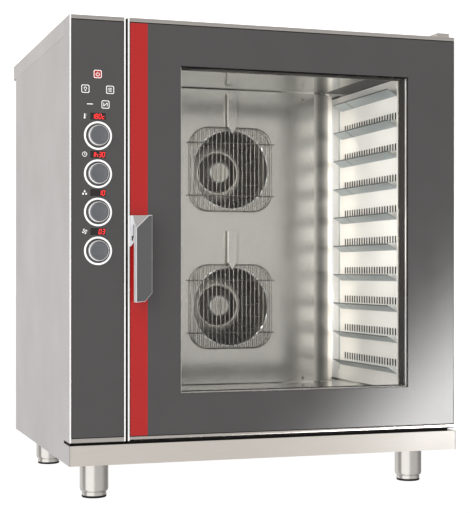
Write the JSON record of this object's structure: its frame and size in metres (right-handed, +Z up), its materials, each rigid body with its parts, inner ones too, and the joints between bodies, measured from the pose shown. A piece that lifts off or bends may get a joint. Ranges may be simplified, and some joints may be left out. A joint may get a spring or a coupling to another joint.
{
  "type": "combi steamer oven",
  "caption": "Combi steamer oven with side-hinged window door, lever handle, control column of knobs, keys and displays, tray runners and guarded fans, on levelling feet.",
  "frame": {"origin": "middle of the bounding box, on the floor under the feet", "axes": "+Z up, -Y out of the door's front, +X to the hinge side"},
  "size_m": [0.99, 0.878, 1.1325],
  "materials": {
    "side_steel": "fine brushed",
    "top_steel": "fine brushed",
    "plinth_steel": "fine brushed",
    "trim_steel": "satin",
    "rear_steel": "mill finish",
    "cavity_steel": "polished",
    "deflector_steel": "brushed",
    "runner_steel": "satin",
    "wire": "polished wire",
    "fan_steel": "satin",
    "heater": "heat-darkened",
    "motor": "black painted",
    "insulation": "mineral wool",
    "gasket": "matt silicone",
    "dark_glass": "back-printed grey",
    "door_glass": "back-printed grey with a clear window",
    "clear_glass": "clear",
    "display": "black with red digits",
    "board": "circuit board",
    "knob": "grey satin",
    "key_red": "gloss",
    "key_dark": "gloss",
    "handle": "dark grey paint",
    "handle_base": "satin",
    "latch": "machined",
    "foot_steel": "brushed",
    "foot_rubber": "matt",
    "lamp": "frosted",
    "fitting": "nickel plated"
  },
  "bodies": {
    "cabinet": {"base_frame": "plinth_steel", "side_panel_left": "side_steel", "side_panel_right": "side_steel", "rear_panel": "rear_steel", "top_cover": "top_steel", "front_frame": "cavity_steel", "cavity_gasket": "gasket", "cavity_liner": "cavity_steel", "insulation_jacket": "insulation", "deflector_panel": "deflector_steel", "fan_grille_upper": "wire", "fan_grille_lower": "wire", "water_chute_upper": "deflector_steel", "water_chute_lower": "deflector_steel", "fan_motor_upper": "motor", "fan_motor_lower": "motor", "heater_upper": "heater", "heater_lower": "heater", "rack_left": "runner_steel", "rack_right": "runner_steel", "cavity_lamp": "lamp", "control_frame": "trim_steel", "control_glass": "dark_glass", "control_board": "board", "display_temperature": "display", "display_time": "display", "display_humidity": "display", "display_fan_speed": "display", "hinge_bracket_upper": "trim_steel", "hinge_bracket_lower": "trim_steel", "latch_strike": "latch", "foot_sleeve_front_left": "foot_steel", "foot_sleeve_front_right": "foot_steel", "foot_sleeve_rear_left": "foot_steel", "foot_sleeve_rear_right": "foot_steel", "foot_front_left": "foot_rubber", "foot_front_right": "foot_rubber", "foot_rear_left": "foot_rubber", "foot_rear_right": "foot_rubber", "water_inlet": "fitting", "drain_outlet": "fitting", "steam_vent": "fitting", "cable_gland": "fitting"},
    "door": {"door_frame": "trim_steel", "door_outer_glass": "door_glass", "door_inner_glass": "clear_glass", "handle_base": "handle_base"},
    "handle": {"door_handle": "handle", "door_latch": "latch"},
    "knob_temperature": {"knob_temperature": "knob"},
    "knob_time": {"knob_time": "knob"},
    "knob_humidity": {"knob_humidity": "knob"},
    "knob_fan_speed": {"knob_fan_speed": "knob"},
    "key_power": {"key_power": "key_red"},
    "key_light": {"key_light": "key_dark"},
    "key_programs": {"key_programs": "key_dark"},
    "key_steam": {"key_steam": "key_dark"},
    "fan_wheel_upper": {"fan_wheel_upper": "fan_steel"},
    "fan_wheel_lower": {"fan_wheel_lower": "fan_steel"}
  },
  "joints": [
    {"name": "door_hinge", "type": "hinge", "parent": "cabinet", "child": "door", "pos_m": [0.466, -0.377, 0.134], "axis": [0, 0, 1], "range_deg": [0, 120]},
    {"name": "handle_turn", "type": "hinge", "parent": "door", "child": "handle", "pos_m": [-0.331, -0.391, 0.636], "axis": [0, -1, 0], "range_deg": [0, 60], "stiffness_Nm_per_rad": 0.8, "springref_deg": -8.59},
    {"name": "turn_temperature", "type": "hinge", "parent": "cabinet", "child": "knob_temperature", "pos_m": [-0.4278, -0.391, 0.845], "axis": [0, -1, 0], "continuous": true},
    {"name": "turn_time", "type": "hinge", "parent": "cabinet", "child": "knob_time", "pos_m": [-0.4278, -0.391, 0.7566], "axis": [0, -1, 0], "continuous": true},
    {"name": "turn_humidity", "type": "hinge", "parent": "cabinet", "child": "knob_humidity", "pos_m": [-0.4278, -0.391, 0.6678], "axis": [0, -1, 0], "continuous": true},
    {"name": "turn_fan_speed", "type": "hinge", "parent": "cabinet", "child": "knob_fan_speed", "pos_m": [-0.4278, -0.391, 0.5779], "axis": [0, -1, 0], "continuous": true},
    {"name": "press_power", "type": "slide", "parent": "cabinet", "child": "key_power", "axis": [0, 1, 0], "range_m": [0, 0.001], "stiffness_N_per_m": 600, "springref_m": -0.001},
    {"name": "press_light", "type": "slide", "parent": "cabinet", "child": "key_light", "axis": [0, 1, 0], "range_m": [0, 0.001], "stiffness_N_per_m": 600, "springref_m": -0.001},
    {"name": "press_programs", "type": "slide", "parent": "cabinet", "child": "key_programs", "axis": [0, 1, 0], "range_m": [0, 0.001], "stiffness_N_per_m": 600, "springref_m": -0.001},
    {"name": "press_steam", "type": "slide", "parent": "cabinet", "child": "key_steam", "axis": [0, 1, 0], "range_m": [0, 0.001], "stiffness_N_per_m": 600, "springref_m": -0.001},
    {"name": "fan_spin_upper", "type": "hinge", "parent": "cabinet", "child": "fan_wheel_upper", "pos_m": [0.043, 0.231, 0.8105], "axis": [0, 1, 0], "continuous": true},
    {"name": "fan_spin_lower", "type": "hinge", "parent": "cabinet", "child": "fan_wheel_lower", "pos_m": [0.043, 0.231, 0.434], "axis": [0, 1, 0], "continuous": true}
  ]
}
